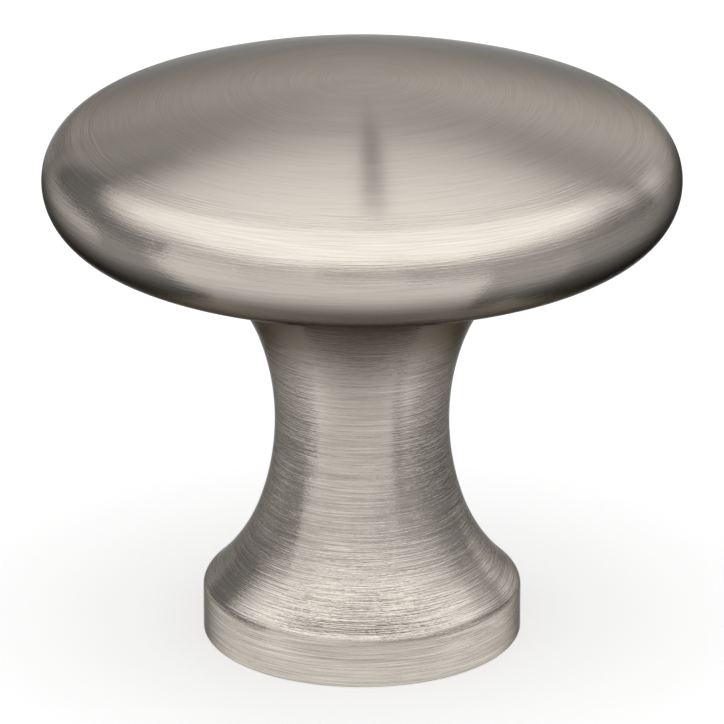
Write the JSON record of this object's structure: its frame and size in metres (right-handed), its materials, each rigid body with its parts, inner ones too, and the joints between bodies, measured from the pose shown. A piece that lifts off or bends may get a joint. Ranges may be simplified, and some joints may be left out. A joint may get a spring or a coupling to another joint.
{
  "type": "cabinet knob",
  "caption": "Round cabinet or drawer knob with a low domed head, a waisted neck and a flat foot with a blind threaded screw hole.",
  "frame": {"origin": "centre of the flat mounting face, where the knob sits on the door", "axes": "+Z along the knob's axis, away from the door and towards the domed head; the knob is round, so +X and +Y are any two square directions in the door's plane"},
  "size_m": [0.0318, 0.0318, 0.0293],
  "materials": {
    "brushed_nickel": "satin nickel plate, brushed in rings round the knob's axis"
  },
  "bodies": {
    "root": {"knob": "brushed_nickel"}
  },
  "joints": []
}
